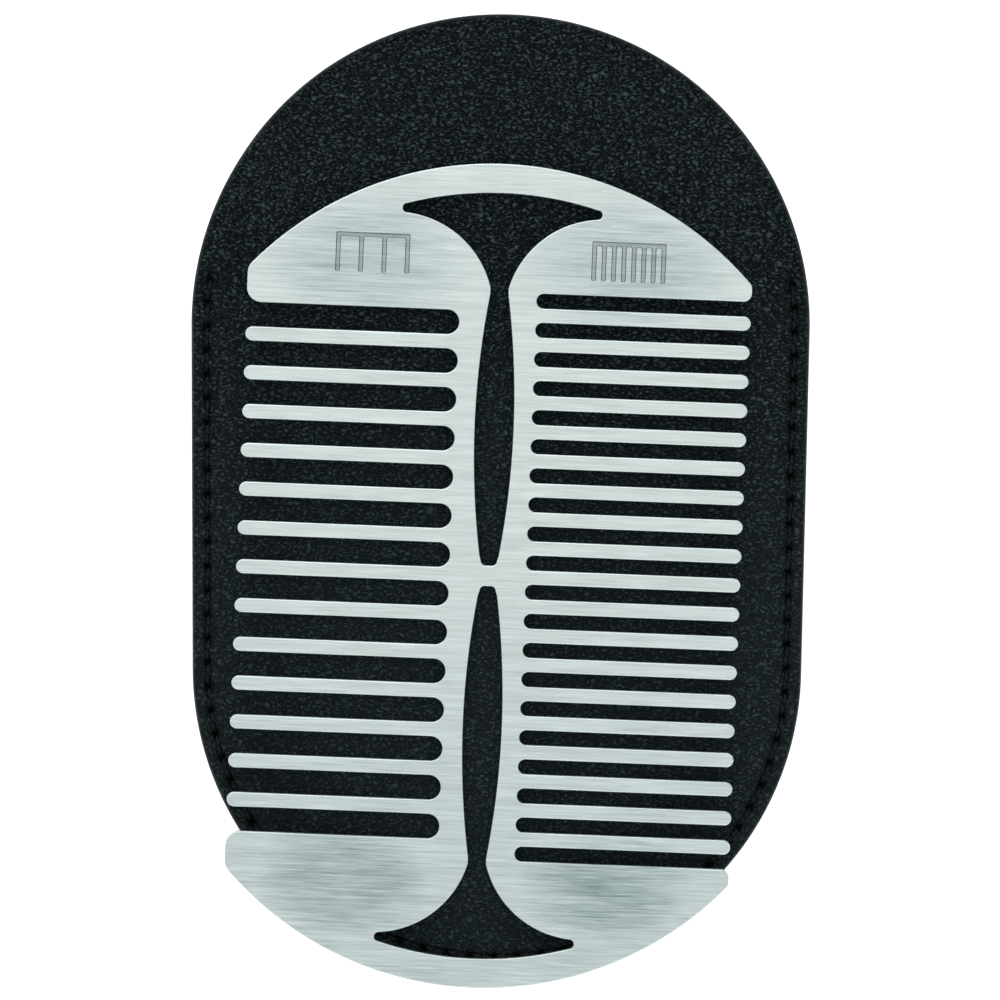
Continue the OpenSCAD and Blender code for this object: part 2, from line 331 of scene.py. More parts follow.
# %% [markdown]
# ## Filling the flats
# The flat faces lie between several closed lines, which no grid fits. A constrained Delaunay
# triangulation joins the points of all lines and keeps the lines as edges. It also fills the
# gaps between the teeth, so only triangles whose middle is in the steel are kept: a middle is
# inside when a ray from it crosses the lines an odd number of times.


# %% Flats between lines
same_point_mm = 1e-7


def inside(points, loops):
    """True where a ray towards +x crosses the loops an odd number of times."""
    start = np.vstack(loops)
    end = np.vstack([np.roll(loop, -1, axis=0) for loop in loops])
    px, py = points[:, :1], points[:, 1:]
    spans = (start[:, 1] > py) != (end[:, 1] > py)
    rise = np.where(end[:, 1] == start[:, 1], 1.0, end[:, 1] - start[:, 1])
    cross_x = start[:, 0] + (py - start[:, 1]) / rise * (end[:, 0] - start[:, 0])
    return np.sum(spans & (cross_x > px), axis=1) % 2 == 1


def flat_faces(loops, numbers):
    """Triangles that fill the area between the loops, facing up, in the mesh's own numbers."""
    points = np.vstack(loops)
    first = np.cumsum([0] + [len(loop) for loop in loops[:-1]])
    edges = np.vstack([
        np.column_stack([np.arange(len(loop)), np.roll(np.arange(len(loop)), -1)]) + start
        for loop, start in zip(loops, first)
    ])
    made = delaunay_2d_cdt(points.tolist(), edges.tolist(), [], 0, same_point_mm)
    triangles = np.array(made[2])
    source = np.array([sources[0] for sources in made[3]])
    triangles = source[triangles]
    middles = points[triangles].mean(axis=1)
    return np.concatenate(numbers)[triangles[inside(middles, loops)]]


# %% Build the comb
comb_left, comb_down, comb_turn = 1.0, 8.5, -1.65
mark_floor_share = 0.4


def comb_shell():
    """Points, faces and the share of engraving at each point of the whole comb.

    The two flats are filled between the first and the last rings of the sweeps, and the
    floor of each mark inside the mark's own last ring. The share is 1 on a mark's walls and
    less on its floor, which faces the light."""
    points, faces, cut, tops, bottoms = [], [], [], [], []
    used = 0
    edge, engraving = edge_profile(), engraved_profile()
    lines = [(outline, edge), (upper_opening, edge), (lower_opening, edge)]
    for loop, profile in lines + [(mark, engraving) for mark in marks]:
        rings = swept(loop, profile)
        numbers = used + np.arange(rings[..., 0].size).reshape(rings.shape[:2])
        used += numbers.size
        points.append(rings.reshape(-1, 3))
        faces.append(ring_faces(*numbers.shape, first=numbers[0, 0]))
        tops.append((rings[0, :, :2], numbers[0]))
        share = np.zeros(numbers.shape)
        if profile is engraving:
            share[2:] = 1.0
            share[-1] = mark_floor_share
            faces.append(flat_faces([rings[-1, :, :2]], [numbers[-1]]))
        else:
            bottoms.append((rings[-1, :, :2], numbers[-1]))
        cut.append(share.ravel())
    faces.append(flat_faces(*zip(*tops)))
    faces.append(flat_faces(*zip(*bottoms))[:, ::-1])
    return np.vstack(points), faces, np.concatenate(cut)


def placed(points):
    """Points of the comb, turned about the vertical and moved to where it lies on the case."""
    turn = math.radians(comb_turn)
    x = points[:, 0] * math.cos(turn) - points[:, 1] * math.sin(turn) - comb_left
    y = points[:, 0] * math.sin(turn) + points[:, 1] * math.cos(turn) - comb_down
    return np.column_stack([x, y, points[:, 2] + comb_z])


comb_points, comb_faces, engraved = comb_shell()
steel_comb = make_piece("steel_comb", placed(comb_points), comb_faces)

# %% [markdown]
# ## A map along the brushing
# Brushing leaves fine parallel scratches, here along the width of the comb. The comb lies
# slightly turned, so a pattern on plain coordinates would run askew. A UV map that holds each
# point's place on the comb itself keeps the scratches true, and it also tells the shader in
# which direction to stretch its highlights. A small share of the height is mixed in, so that
# upright walls have a direction too.

# %% Put the map on the comb
to_brush_map, wall_share = 0.01, 0.2


def add_brush_map(piece, own_points):
    """A UV map whose two values are the place along the width and the length, from 0 to 1."""
    numbers = np.empty(len(piece.data.loops), dtype=np.int32)
    piece.data.loops.foreach_get("vertex_index", numbers)
    flat = own_points[:, :2] + own_points[:, 2:] * (wall_share, -wall_share)
    layer = piece.data.uv_layers.new(name="brushing")
    layer.data.foreach_set("uv", (flat[numbers] * to_brush_map + 0.5).astype(np.float32).ravel())


def add_value(piece, name, values):
    """A number at each point of the mesh that a material can read by its name."""
    attribute = piece.data.attributes.new(name, "FLOAT", "POINT")
    attribute.data.foreach_set("value", values.astype(np.float32))


add_brush_map(steel_comb, comb_points)
add_value(steel_comb, "engraved", engraved)
print(f"{np.count_nonzero(engraved)} points of the comb are inside a mark")

# %% [markdown]
# ## Rays across the case
# Each leather panel is cut round: a large round at the mouth, a slightly smaller one at the
# closed end, and straight sides between them. A grid suits it if its rings follow the edge,
# because the seam, the rounded edge and the creased line all run beside the edge. So rays
# start on the middle line and run square to the edge. They are counted along the seam, ten to
# a stitch, so that a ray falls on every needle hole.

# %% The case's rounds and the seam
bottom_taper, seam_inset, seam_top_y, stitches_per_side = 0.5, 1.6, 22.0, 35
rays_per_stitch, mouth_ray_step = 10, 0.36
mouth_r = case_w / 2
bottom_r = mouth_r - bottom_taper
mouth_y = case_len / 2 - mouth_r
bottom_y = bottom_r - case_len / 2
centre_dist = mouth_y - bottom_y
lean = -math.asin(bottom_taper / centre_dist)
seam_bottom_r, seam_mouth_r = bottom_r - seam_inset, mouth_r - seam_inset
seam_turn = seam_bottom_r * (math.pi / 2 + lean)
seam_straight = centre_dist * math.cos(lean)
seam_end_angle = math.asin((seam_top_y - mouth_y) / seam_mouth_r)
half_seam = seam_turn + seam_straight + seam_mouth_r * (seam_end_angle - lean)
half_round = seam_turn + seam_straight + seam_mouth_r * (math.pi / 2 - lean)
stitch_len = half_seam / stitches_per_side
print(f"{2 * stitches_per_side} stitches of {stitch_len:.2f} mm")


def rays(along):
    """Middle point, outward direction and length of the rays at distances along the seam.

    The distance is counted from the middle of the closed end, negative to the left. A ray's
    direction turns with the distance on the two rounds and stays the same on the straight
    side, where its middle point moves instead."""
    far = np.abs(along)
    share = np.clip((far - seam_turn) / seam_straight, 0, 1)
    angle = -math.pi / 2 + np.minimum(far, seam_turn) / seam_bottom_r
    angle += np.maximum(far - seam_turn - seam_straight, 0) / seam_mouth_r
    middle = np.column_stack([np.zeros(len(far)), bottom_y + share * centre_dist])
    outward = np.column_stack([np.sign(along) * np.cos(angle), np.sin(angle)])
    return middle, outward, bottom_r + share * bottom_taper


seam_rays = np.linspace(0, half_seam, stitches_per_side * rays_per_stitch + 1)
mouth_ray_count = int((half_round - half_seam) / mouth_ray_step) + 1
half_rays = np.concatenate([seam_rays, np.linspace(half_seam, half_round, mouth_ray_count)[1:]])
ray_along = np.concatenate([-half_rays[::-1], half_rays[1:-1]])
ray_middle, ray_outward, ray_len = rays(ray_along)
print(len(ray_along), "rays")

# %% [markdown]
# ## The form of the pocket
# The front was pressed over a plate while damp, so it stands up from a flat border over the
# comb's room and runs out level through the mouth. The rise depends only on how far a point
# lies inside the border: it starts softly, climbs quickly and eases into the flat top. The
# same rise lifts the front lining, so the two never part or cross.

# %% Rise and unevenness
border_w, slope_w, mouth_run = 4.0, 12.0, mouth_r
soft_start, shoulder_power = 0.06, 2.2
sag_depth, sag_waves, shortest_wave, longest_wave = 0.10, 16, 7, 30


def inset_of(points, run=0.0):
    """How far points lie inside the case's edge, with the mouth moved out by run."""
    length = centre_dist + run
    share = np.clip((points[..., 1] - bottom_y) / length, 0, 1)
    from_middle = np.hypot(points[..., 0], points[..., 1] - bottom_y - share * length)
    return bottom_r + share * bottom_taper - from_middle


def rise(points):
    """Height of the raised form: pocket_h * (1 - (1 - g) ** power).

    g is the share of the slope behind the point, eased so that it starts without a kink."""
    share = np.clip((inset_of(points, mouth_run) - border_w) / slope_w, 0, 1)
    eased = np.sqrt(share**2 + soft_start**2) - soft_start
    eased /= math.sqrt(1 + soft_start**2) - soft_start
    return pocket_h * (1 - (1 - eased) ** shoulder_power)


def sag(points, seed):
    """Gentle unevenness from 0 to sag_depth: a sum of plane waves in seeded directions."""
    draw = np.random.default_rng(seed)
    heading = draw.uniform(0, 2 * math.pi, sag_waves)
    wave_len = draw.uniform(shortest_wave, longest_wave, sag_waves)
    shift = draw.uniform(0, 2 * math.pi, sag_waves)
    total = np.zeros(points.shape[:-1])
    for angle, length, start in zip(heading, wave_len, shift):
        across = points[..., 0] * math.cos(angle) + points[..., 1] * math.sin(angle)
        total += length * np.sin(2 * math.pi * across / length + start)
    total -= total.min()
    return sag_depth * total / total.max()


# %% [markdown]
# ## What the seam does to the leather
# A lockstitch pulled tight sinks into the leather. It leaves a shallow groove along the seam,
# a deeper dimple at every needle hole and small tucks beside each hole. All three are bell
# curves of the distance from the seam line and from the nearest hole. Along the open mouth a
# creasing iron has pressed a thin line beside the edge instead.

# %% Grooves, dimples and the creased line
hole_reach, hole_width, tuck_reach, tuck_width = 0.42, 0.24, 0.5, 1.2
groove_width, tuck_depth, least_tug, tug_range, tug_seed = 0.34, 0.06, 0.75, 0.5, 11
seam_fade = 0.6
crease_inset, crease_width, crease_depth = 0.9, 0.16, 0.07


def bell(distance, width):
    """A bell curve: 1 at no distance, falling to almost nothing at twice the width."""
    return np.exp(-((distance / width) ** 2))


def seam_relief(along, inset, groove_depth, hole_depth):
    """How deep the face is sunk at a distance along the seam and an inset from the edge.

    Groove, dimple and tuck are products of bell curves, and each stitch tugs its own tucks
    more or less. Past the last stitch they fade out and the crease begins."""
    holes = np.round(along / stitch_len)
    to_hole = along - holes * stitch_len
    to_line = inset - seam_inset
    sewn = np.clip((half_seam + seam_fade - np.abs(along)) / seam_fade, 0, 1)
    draw = np.random.default_rng(tug_seed)
    tug = least_tug + tug_range * draw.random(2 * stitches_per_side + 3)
    tug = tug[np.clip(holes + stitches_per_side + 1, 0, len(tug) - 1).astype(int)]
    groove = groove_depth * bell(to_line, groove_width)
    dimple = hole_depth * bell(to_hole, hole_reach) * bell(to_line, hole_width)
    tuck = tuck_depth * tug * bell(to_hole, tuck_reach) * bell(to_line, tuck_width)
    crease = (1 - sewn) * crease_depth * bell(inset - crease_inset, crease_width)
    return sewn * (groove + dimple + tuck) + crease


# %% [markdown]
# ## Cutting the layers
# A layer's section is one line: from the middle along the face to the edge, round the edge
# and back along the underside. The face gets close rings near the seam, where there is most
# to show, and wider ones towards the middle. The two ends of the section are welded on the
# middle line, where the rays of both sides meet, so the layer is a closed shell.

# %% Sections of a layer
seam_ring_step, plain_ring_step, close_rings_to, face_middle_rings = 0.115, 0.9, 3.2, 34
edge_turn_steps, edge_margin, under_edge_r = 6, 0.03, 0.15
under_insets, under_middle_rings = (0.6, 3.0, 5.0, 7.5, 10.0, 13.0), 8
sag_from, sag_over = 2.5, 4


def section(thickness, face_r, setback, ring_step):
    """Insets (rings, rays), heights (rings) and a mask of the face for a layer's section."""
    turn = np.linspace(0, math.pi / 2, edge_turn_steps)
    to_middle = ray_len[None] - close_rings_to
    face = close_rings_to + np.linspace(1, 0, face_middle_rings)[:, None] * to_middle
    band = np.arange(close_rings_to - ring_step, setback + face_r + edge_margin, -ring_step)
    face_edge = setback + face_r * (1 - np.sin(turn))
    under_edge = setback + under_edge_r * (1 - np.cos(turn[1:]))
    fixed = np.concatenate([band, face_edge, under_edge, np.array(under_insets)])
    last = under_insets[-1]
    under = last + np.linspace(0, 1, under_middle_rings)[1:, None] * (ray_len[None] - last)
    insets = np.vstack([face, np.repeat(fixed[:, None], len(ray_len), axis=1), under])
    flat_rings = len(face) + len(band)
    heights_of = np.concatenate([
        np.full(flat_rings, thickness),
        thickness - face_r * (1 - np.cos(turn)),
        under_edge_r * (1 - np.sin(turn[1:])),
        np.zeros(len(under_insets) + len(under)),
    ])
    is_face = np.arange(len(heights_of)) < flat_rings
    return insets, heights_of, is_face


def layer(name, thickness, face_r, low_z, lifted, face_up=True, setback=0.0, relief=None, seed=None):
    """A closed layer of the case from its section, standing on low_z.

    A point lies at ray_middle + (ray_len - inset) * ray_outward. Its height is the section's,
    less the relief and the sag on the face, plus the pocket's rise on a lifted layer."""
    ring_step = seam_ring_step if relief else plain_ring_step
    insets, heights_of, is_face = section(thickness, face_r, setback, ring_step)
    points = ray_middle + (ray_len - insets)[..., None] * ray_outward
    sunk = np.zeros(insets.shape)
    if relief:
        sunk += seam_relief(ray_along, insets, *relief)
    if seed:
        sunk += sag(points, seed) * np.clip((insets - sag_from) / sag_over, 0, 1)
    height = heights_of[:, None] - sunk * is_face[:, None]
    if not face_up:
        height = thickness - height
    z = low_z + height + (rise(points) if lifted else 0)
    faces = ring_faces(*insets.shape)
    if not face_up:
        faces = faces[:, ::-1]
    grid = np.concatenate([points, z[..., None]], axis=-1).reshape(-1, 3)
    return make_piece(name, grid, [faces], merge_mm=weld_mm)


# %% [markdown]
# ## Where the leather is smooth or shaded
# The grain isn't even over a case. The cut edge is burnished smooth and dark. The grain flattens
# little by little down the case, and its painted highlight fades with it. Each needle hole gets
# painted shade round it, for the hollow there. All three are numbers stored at the points of the
# mesh, which the leather's material reads later. The thread gets the same painted shade at the holes.

# %% Burnished edge, fading grain and painted shade at the needle holes
burnish_width, fade_from_y, fade_to_y, most_fade = 0.5, 26.0, -12.0, 0.35
hole_shade_width = 0.62
hole_along = stitch_len * np.arange(-stitches_per_side, stitches_per_side + 1)
hole_middle, hole_outward, hole_ray_len = rays(hole_along)
hole_places = hole_middle + hole_outward * (hole_ray_len - seam_inset)[:, None]
print(len(hole_places), "needle holes on each side of the case")


def flat_place(piece):
    """The x and y of every point of a piece, in mm."""
    place = np.empty(len(piece.data.vertices) * 3, dtype=np.float32)
    piece.data.vertices.foreach_get("co", place)
    return place.reshape(-1, 3)[:, :2] / MM


def add_hole_shade(piece):
    """Stores how close to a needle hole each point is: the mask of the painted shade there."""
    to_holes = np.linalg.norm(flat_place(piece)[:, None] - hole_places[None], axis=2)
    add_value(piece, "hole", bell(to_holes.min(axis=1), hole_shade_width))


def add_edge_and_fade(piece):
    """Stores how burnished each point is and how far its grain fades down the case."""
    place = flat_place(piece)
    add_value(piece, "burnished", np.clip(1 - inset_of(place) / burnish_width, 0, 1))
    down = (fade_from_y - place[:, 1]) / (fade_from_y - fade_to_y)
    add_value(piece, "grain_fade", most_fade * np.clip(down, 0, 1))


# %% Cut the four layers
leather_edge_r, lining_edge_r, lining_setback, glue_line = 0.42, 0.12, 0.3, 0.02
front_relief, back_relief = (0.20, 0.40), (0.42, 0.40)
front_leather = layer("front_leather", leather_t, leather_edge_r, front_panel_z, lifted=True,
                      relief=front_relief, seed=5)
back_leather = layer("back_leather", leather_t, leather_edge_r, 0.0, lifted=False,
                     face_up=False, relief=back_relief, seed=8)
for piece in (front_leather, back_leather):
    add_edge_and_fade(piece)
    add_hole_shade(piece)
lining_body_t = lining_t - 2 * glue_line
front_cloth = layer("front_cloth", lining_body_t, lining_edge_r, front_lining_z + glue_line,
                    lifted=True, face_up=False, setback=lining_setback)
back_cloth = layer("back_cloth", lining_body_t, lining_edge_r, back_lining_z + glue_line,
                   lifted=False, setback=lining_setback)

# %% [markdown]
# ## Sewing
# A sewing machine makes two rows of stitches, the needle thread on the front and the bobbin
# thread on the back, that lock inside the holes. Each stitch is an arch: out of one hole,
# along the groove and down into the next. A flattened oval power curve gives that arch with
# one formula. The thread is two plies twisted together, so its section is a slim waisted
# shape that turns as it runs, and every stitch leans a little, as machine stitches do.

# %% Stitches
thread_d, stitch_points, ply_points, ply_lay, ply_waist = 0.5, 22, 12, 1.3, 0.72
arch_power, arch_depth, leg_gap, stitch_lean, end_slimming = 3.2, 0.95, 0.2, 0.09, 2.2
needle_sunk, bobbin_run_z = 0.12, 0.36


def stitches(name, run_z, down):
    """All stitches of one row as closed two-ply tubes, sinking by arch_depth towards down.

    Along a stitch, with t from 0 to pi, the centre line is (-cos t) ** (2 / p) of half its
    length along the seam and sin t ** (2 / p) of the depth above the legs' ends."""
    t = np.linspace(0, math.pi, stitch_points)
    reach = -np.sign(np.cos(t)) * np.abs(np.cos(t)) ** (2 / arch_power)
    height = np.sin(t) ** (2 / arch_power)
    starts = (np.arange(-stitches_per_side, stitches_per_side) + 0.5) * stitch_len
    along = starts[:, None] + reach * (stitch_len / 2 - leg_gap)
    middle, outward, length = (part.reshape(*along.shape, -1) for part in rays(along.ravel()))
    across = np.concatenate([outward, np.zeros((*along.shape, 1))], axis=-1)
    centre = np.concatenate([
        middle + (length - seam_inset + stitch_lean * reach[:, None]) * outward,
        np.broadcast_to(run_z + down * arch_depth * (1 - height), along.shape)[..., None],
    ], axis=-1)
    forward = np.gradient(centre, axis=1)
    forward /= np.linalg.norm(forward, axis=-1, keepdims=True)
    lift = np.cross(forward, across)
    run = np.concatenate([[0], np.cumsum(np.linalg.norm(np.diff(centre[0], axis=0), axis=1))])
    around = np.arange(ply_points) * 2 * math.pi / ply_points
    turned = around + 2 * math.pi * run[:, None] / ply_lay
    waist = ply_waist + (1 - ply_waist) * np.abs(np.cos(around))
    slim = np.sqrt(np.clip(np.sin(t) * end_slimming, 0, 1))
    radius = thread_d / 2 * waist[None] * slim[:, None]
    tube = (centre[:, :, None]
            + (radius * np.cos(turned))[None, ..., None] * across[:, :, None]
            + (radius * np.sin(turned))[None, ..., None] * lift[:, :, None])
    one = ring_faces(stitch_points, ply_points)[:, ::-1]
    shift = np.arange(len(starts)) * stitch_points * ply_points
    faces = (one[None] + shift[:, None, None]).reshape(-1, 4)
    return make_piece(name, tube.reshape(-1, 3), [faces], merge_mm=weld_mm)


needle_stitches = stitches("needle_stitches", border_top_z - needle_sunk, down=-1)
bobbin_stitches = stitches("bobbin_stitches", bobbin_run_z, down=1)
for piece in (needle_stitches, bobbin_stitches):
    add_hole_shade(piece)

# %% [markdown]
# ## Each piece in its place
# The comb rides on its own body, which lifts off. Everything sewn rides on the case. The
# leather and the linings are sheets, cut flat and laid together.

# %% Bodies of the pieces
for piece, node, body, slot in [
    (steel_comb, "comb_plate", "comb", "steel"),
    (front_leather, "front_panel", "case", "leather"),
    (back_leather, "back_panel", "case", "leather"),
    (front_cloth, "front_lining", "case", "lining"),
    (back_cloth, "back_lining", "case", "lining"),
    (needle_stitches, "needle_thread", "case", "thread"),
    (bobbin_stitches, "bobbin_thread", "case", "thread"),
]:
    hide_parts(node)
    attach(piece, body)


# %% [markdown]
# ## Building node trees in code
# A material is a small graph. One helper adds a node, sets its plain values and draws its
# links at once, so each material below reads from its coordinates to its shader. What
# repeats is a helper of its own, and the two patterns that make most of the look are node
# groups with named sockets.


# %% Helpers for nodes
def fill(tree, node, inputs):
    """Each named input of a node, linked if its value is a socket and set if it is plain."""
    for name, value in inputs.items():
        if isinstance(value, bpy.types.NodeSocket):
            tree.links.new(value, node.inputs[name])
        else:
            node.inputs[name].default_value = value
    return node


def add(tree, kind, inputs=None, **settings):
    """A new node with its settings and its inputs."""
    node = tree.nodes.new("ShaderNode" + kind)
    for name, value in settings.items():
        setattr(node, name, value)
    return fill(tree, node, inputs or {})


def math_node(tree, operation, *values):
    """The result socket of a Math node."""
    return add(tree, "Math", dict(enumerate(values)), operation=operation).outputs[0]


def vector_node(tree, operation, *values):
    """The vector that a Vector Math node puts out."""
    return add(tree, "VectorMath", dict(enumerate(values)), operation=operation).outputs[0]


def weighted(tree, *pairs):
    """The sum of values, each times its weight."""
    total = math_node(tree, "MULTIPLY", *pairs[0])
    for value, weight in pairs[1:]:
        total = math_node(tree, "MULTIPLY_ADD", value, weight, total)
    return total


def remap(tree, value, low, high, to_low=0.0, to_high=1.0, smooth=False):
    """A value moved from one range to another and held inside it."""
    inputs = {"Value": value, "From Min": low, "From Max": high, "To Min": to_low, "To Max": to_high}
    kind = "SMOOTHSTEP" if smooth else "LINEAR"
    return add(tree, "MapRange", inputs, interpolation_type=kind).outputs["Result"]


# %% Helpers for colours, stored numbers and normals
def blend_colours(tree, share, first, second):
    """A mix of two colours, each a socket or four numbers."""
    return add(tree, "Mix", {0: share, 6: first, 7: second}, data_type="RGBA").outputs[2]


def stored(tree, name):
    """The number stored under a name at the points of the mesh."""
    return add(tree, "Attribute", attribute_name=name).outputs["Fac"]


def bumped(tree, height, strength, depth_mm):
    """The normal of a surface whose height varies by a depth in millimetres."""
    inputs = {"Height": height, "Strength": strength, "Distance": depth_mm * MM}
    return add(tree, "Bump", inputs).outputs[0]


# %% Helpers for groups and materials
def new_group(name, inputs, outputs):
    """A node group with float or vector inputs and float outputs, and its two end nodes."""
    tree = bpy.data.node_groups.new(name, "ShaderNodeTree")
    for label, kind in inputs.items():
        tree.interface.new_socket(label, in_out="INPUT", socket_type="NodeSocket" + kind)
    for label in outputs:
        tree.interface.new_socket(label, in_out="OUTPUT", socket_type="NodeSocketFloat")
    return tree, tree.nodes.new("NodeGroupInput"), tree.nodes.new("NodeGroupOutput")


def new_material(name, **constants):
    """A material with a Principled shader whose constant sockets are set, and its tree."""
    material = bpy.data.materials.new(name)
    material.use_nodes = True
    tree = material.node_tree
    shader = tree.nodes["Principled BSDF"]
    fill(tree, shader, {label.replace("_", " "): value for label, value in constants.items()})
    return material, tree, shader


def put_on(material, *pieces):
    """Gives the material to pieces."""
    for piece in pieces:
        piece.data.materials.append(material)
    names = ", ".join(piece.name for piece in pieces)
    print(f"{material.name} with {len(material.node_tree.nodes)} nodes on {names}")


# %% [markdown]
# ## Streaks
# Brushed steel is covered by scratches much longer than they are wide. Noise stretched along
# one direction looks like that. The group takes a place in millimetres, the length and the
# width of a streak, and puts out a value from 0 to 1, so it serves for hair-fine scratches
# and for the broad soft bands alike.

# %% The streak group
streak_group, ends_in, ends_out = new_group(
    "streaks", {"Place": "Vector", "Length": "Float", "Width": "Float", "Seed": "Float"}, ["Value"]
)
split = add(streak_group, "SeparateXYZ", {0: ends_in.outputs["Place"]})
squeezed = add(streak_group, "CombineXYZ", {
    0: math_node(streak_group, "DIVIDE", split.outputs[0], ends_in.outputs["Length"]),
    1: math_node(streak_group, "DIVIDE", split.outputs[1], ends_in.outputs["Width"]),
    2: ends_in.outputs["Seed"],
})
streak_noise = add(streak_group, "TexNoise", {
    "Vector": squeezed.outputs[0], "Scale": 1.0, "Detail": 3.0, "Roughness": 0.6,
})
fill(streak_group, ends_out, {"Value": remap(streak_group, streak_noise.outputs["Fac"], 0.25, 0.75)})
print(f"{streak_group.name}: a group of {len(streak_group.nodes)} nodes")

# %% [markdown]
# ## Brushed steel
# The shader is a plain metal. Three sizes of streaks together give one tone, which varies the
# metal's roughness, its normal and its brightness. The anisotropy spreads each highlight
# across the scratches, which is what tells brushed steel from grey paint.

# %% The tone of the brushing
hair_size, scratch_size, band_size = (3.5, 0.08), (7.0, 0.20), (14.0, 0.8)
hair_weight, scratch_weight, band_weight = 0.38, 0.38, 0.24
tone_low, tone_high = 0.2, 0.8
steel, tree, shader = new_material("brushed_steel", Metallic=1.0, Anisotropic=0.5,
                                   Anisotropic_Rotation=0.25)
brush_uv = add(tree, "UVMap", uv_map="brushing").outputs[0]
in_mm, half_map = 1 / to_brush_map, 0.5 / to_brush_map
on_comb = vector_node(tree, "MULTIPLY_ADD", brush_uv, (in_mm, in_mm, 0), (-half_map, -half_map, 0))


def streaks(length, width, seed):
    """The streak group on the steel at one length and width."""
    inputs = {"Place": on_comb, "Length": length, "Width": width, "Seed": seed}
    return add(tree, "Group", inputs, node_tree=streak_group).outputs["Value"]


mixed = weighted(
    tree,
    (streaks(*hair_size, seed=1.0), hair_weight),
    (streaks(*scratch_size, seed=4.0), scratch_weight),
    (streaks(*band_size, seed=9.0), band_weight),
)
tone = remap(tree, mixed, tone_low, tone_high)

# %% [markdown]
# Each head of the comb gets a soft patch of painted shade on the wide flat, a darker reflection.
# The distance from the middle of a head, counted in half sizes of the patch, makes the mask.
# Taking the place without its signs puts the same patch on all four heads at once. Soft
# clouds thin the patches, and the two upper ones are weaker. The whole lower end gets a little
# painted shade too, as the light falls off down the comb.

# %% Patches of painted shade
patch_middle, patch_half, patch_core = (13.5, 32.0, 0.0), (12.5, 8.0, 1.0), 0.3
cloud_size, thin_cloud, weak_patch, head_y = (9.0, 2.0), 0.55, 0.55, 25.0
shade_from_y, shade_to_y, most_end_shade = 10.0, -40.0, 0.3
# Painted shade: a soft patch in the middle of each head, and more towards the lower end.
from_middle = vector_node(tree, "SUBTRACT", vector_node(tree, "ABSOLUTE", on_comb), patch_middle)
from_middle = vector_node(tree, "DIVIDE", from_middle, patch_half)
far = add(tree, "VectorMath", {0: from_middle}, operation="LENGTH").outputs["Value"]
cloud = remap(tree, streaks(*cloud_size, seed=16.0), tone_low, tone_high, thin_cloud, 1.0)
patch = math_node(tree, "MULTIPLY", remap(tree, far, 1.0, patch_core, smooth=True), cloud)
length_place = add(tree, "SeparateXYZ", {0: on_comb}).outputs[1]
patch = math_node(tree, "MULTIPLY", patch, remap(tree, length_place, -head_y, head_y, 1.0, weak_patch))
end_shade = remap(tree, length_place, shade_from_y, shade_to_y, 0.0, most_end_shade)
steel_shade = math_node(tree, "MAXIMUM", patch, end_shade)

# %% [markdown]
# Two pairs of greys are enough for the steel's colour: the tone runs from the first to the
# second grey of a pair, and the painted shade leads from the bright pair to the shaded one.
# Marks are cut below the brushed flat and show little of it. Their dark grey is partly the
# etched floor's own matt tone and mostly painted shade on the walls.

# %% Colour and shader of the steel
bright_pair = (0.59, 0.665, 0.655, 1), (0.79, 0.87, 0.86, 1)
shaded_pair = (0.10, 0.165, 0.16, 1), (0.56, 0.69, 0.68, 1)
mark_shade_colour, mark_shade_strength = (0.09, 0.11, 0.11, 1), 0.85
smooth_steel, rough_steel = 0.30, 0.42
surface = blend_colours(tree, steel_shade, blend_colours(tree, tone, *bright_pair),
                        blend_colours(tree, tone, *shaded_pair))
# Painted shade in the marks: full on the walls, less on the floor, which faces the light; a little is
# the etched floor's own matt tone.
mark_shade = math_node(tree, "MULTIPLY", stored(tree, "engraved"), mark_shade_strength)
fill(tree, shader, {
    "Base Color": blend_colours(tree, mark_shade, surface, mark_shade_colour),
    "Roughness": remap(tree, tone, tone_low, tone_high, smooth_steel, rough_steel),
    "Normal": bumped(tree, tone, strength=0.35, depth_mm=0.02),
    "Tangent": add(tree, "Tangent", direction_type="UV_MAP", uv_map="brushing").outputs[0],
})
put_on(steel, steel_comb)

# %% [markdown]
# ## Pebbled leather
# Embossed cowhide has small rounded cells with fine valleys between them, linked into short
# rows by the way the hide was stretched. A Voronoi pattern gives the cells: the distance to
# the border between two cells is low in a valley and high on a crown. The place is bent by
# a little noise first, so that no border is straight. Crowns alone would look like scales,
# so a noise of wrinkles, a little finer than the cells, counts as much as they do, and pores
# add a little.

# %% The grain group
wander_scale, wander_mm, valley_width = 1.1, 0.9, 0.42
wrinkle_scale, pore_scale = 1.75, 3.1
crown_weight, wrinkle_weight, pore_weight = 0.42, 0.95, 0.12
grain_group, ends_in, ends_out = new_group(
    "pebble_grain", {"Place": "Vector", "Cell": "Float", "Stretch": "Float"}, ["Height", "Tone"]
)
place, cell_width = ends_in.outputs["Place"], ends_in.outputs["Cell"]
wander = add(grain_group, "TexNoise", {"Vector": place, "Scale": wander_scale, "Detail": 2.0})
offset = vector_node(grain_group, "SUBTRACT", wander.outputs["Color"], (0.5, 0.5, 0.5))
offset = add(grain_group, "VectorMath", {0: offset, "Scale": wander_mm}, operation="SCALE").outputs[0]
split = add(grain_group, "SeparateXYZ", {0: vector_node(grain_group, "ADD", place, offset)})
cell_length = math_node(grain_group, "MULTIPLY", cell_width, ends_in.outputs["Stretch"])
cells_at = add(grain_group, "CombineXYZ", {
    0: math_node(grain_group, "DIVIDE", split.outputs[0], cell_length),
    1: math_node(grain_group, "DIVIDE", split.outputs[1], cell_width),
    2: math_node(grain_group, "DIVIDE", split.outputs[2], cell_width),
}).outputs[0]
border = add(grain_group, "TexVoronoi", {"Vector": cells_at, "Scale": 1.0}, feature="DISTANCE_TO_EDGE")
wrinkles = add(grain_group, "TexNoise", {"Vector": cells_at, "Scale": wrinkle_scale, "Detail": 0.6})
pores = add(grain_group, "TexNoise", {"Vector": cells_at, "Scale": pore_scale, "Detail": 3.0})
cell = add(grain_group, "TexVoronoi", {"Vector": cells_at, "Scale": 1.0})
